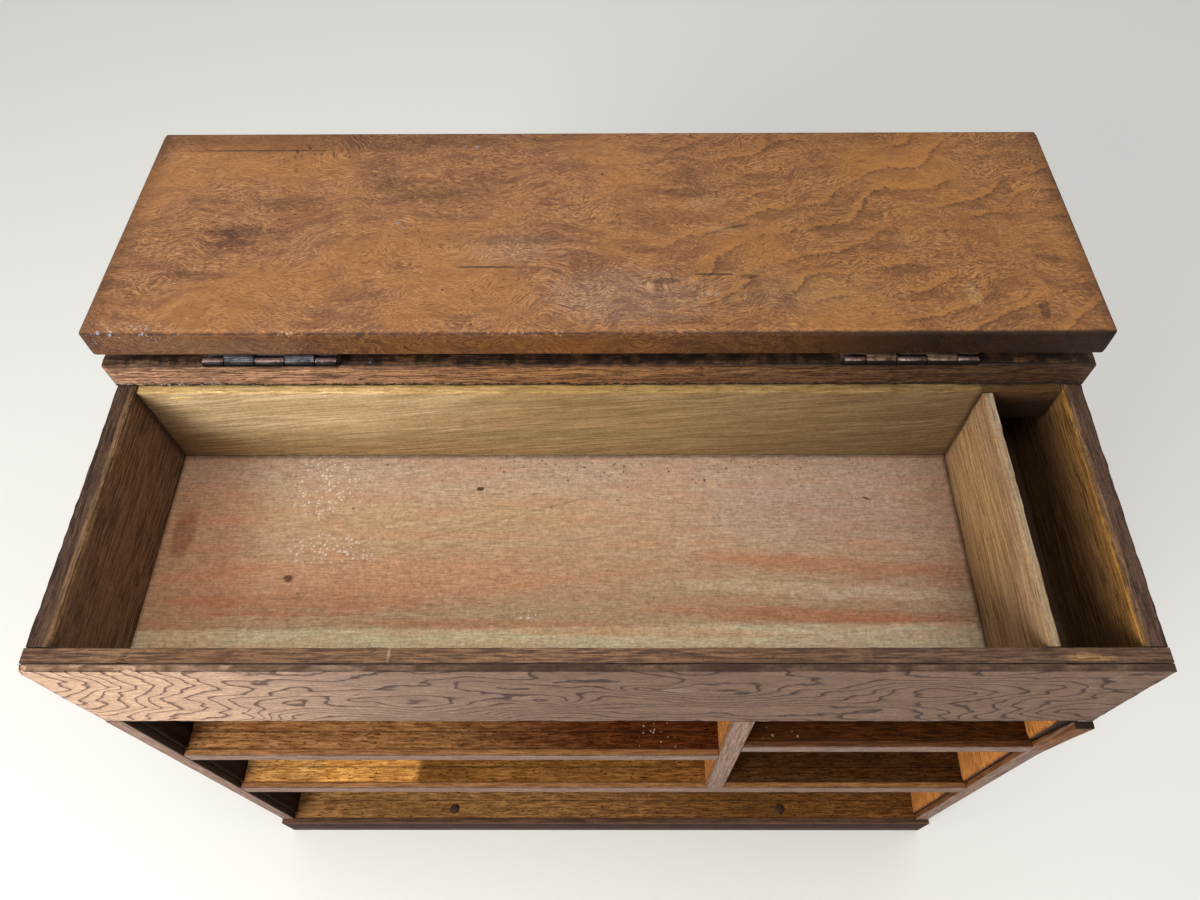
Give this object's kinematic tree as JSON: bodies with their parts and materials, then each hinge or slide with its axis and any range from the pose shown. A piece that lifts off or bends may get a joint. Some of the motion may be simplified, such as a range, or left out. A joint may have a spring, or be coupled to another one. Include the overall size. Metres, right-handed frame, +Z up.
{
  "type": "sewing box",
  "caption": "Wooden sewing box with open drawer bays on the front, a top tray with a narrow slot beside it, and a lid on two hinges that folds right back.",
  "frame": {"origin": "centre of the overall box on the ground, with the lid folded back", "axes": "+X to the right of someone at the front, +Y to the back, +Z up"},
  "size_m": [0.2906, 0.1788, 0.2535],
  "materials": {
    "lid_wood": "figured orange-brown wood, worn oil finish",
    "case_wood": "dark brown wood, worn oil finish",
    "rail_wood": "golden brown wood, worn",
    "panel_wood": "bare golden wood",
    "facing_wood": "pinkish grey-brown figured wood, rubbed",
    "tray_wood": "bare pinkish tan wood, worn",
    "plinth_wood": "dark grey-brown wood, rubbed",
    "peg_wood": "dark end-grain pegs",
    "hinge_metal": "aged and darkened hinge metal"
  },
  "bodies": {
    "case": {"left_side": "case_wood", "right_side": "case_wood", "back_panel": "case_wood", "rear_top_board": "case_wood", "bay_upright": "case_wood", "left_shelf_rail": "rail_wood", "right_shelf_rail": "rail_wood", "lower_shelf_rail": "rail_wood", "bottom_rail": "rail_wood", "left_shelf_panel": "panel_wood", "right_shelf_panel": "panel_wood", "lower_shelf_panel": "panel_wood", "bottom_panel": "panel_wood", "tray_facing": "facing_wood", "upright_strip": "facing_wood", "left_shelf_strip": "facing_wood", "right_shelf_strip": "facing_wood", "lower_shelf_strip": "facing_wood", "left_side_strip": "facing_wood", "right_side_strip": "facing_wood", "tray_front_board": "tray_wood", "tray_back_wall": "tray_wood", "tray_floor": "tray_wood", "tray_divider": "tray_wood", "slot_rear_partition": "tray_wood", "plinth_front_board": "plinth_wood", "plinth_rear_board": "plinth_wood", "plinth_left_board": "plinth_wood", "plinth_right_board": "plinth_wood", "back_pegs": "peg_wood", "rail_pegs": "peg_wood", "left_hinge_case_leaf": "hinge_metal", "left_hinge_pin": "hinge_metal", "right_hinge_case_leaf": "hinge_metal", "right_hinge_pin": "hinge_metal", "hinge_case_screws": "hinge_metal"},
    "lid": {"lid_board": "lid_wood", "left_hinge_lid_leaf": "hinge_metal", "right_hinge_lid_leaf": "hinge_metal", "hinge_lid_screws": "hinge_metal"}
  },
  "joints": [
    {"name": "lid_hinge", "type": "hinge", "parent": "case", "child": "lid", "pos_m": [0, -0.00015, 0.2413], "axis": [1, 0, 0], "range_deg": [0, 182.6]}
  ]
}
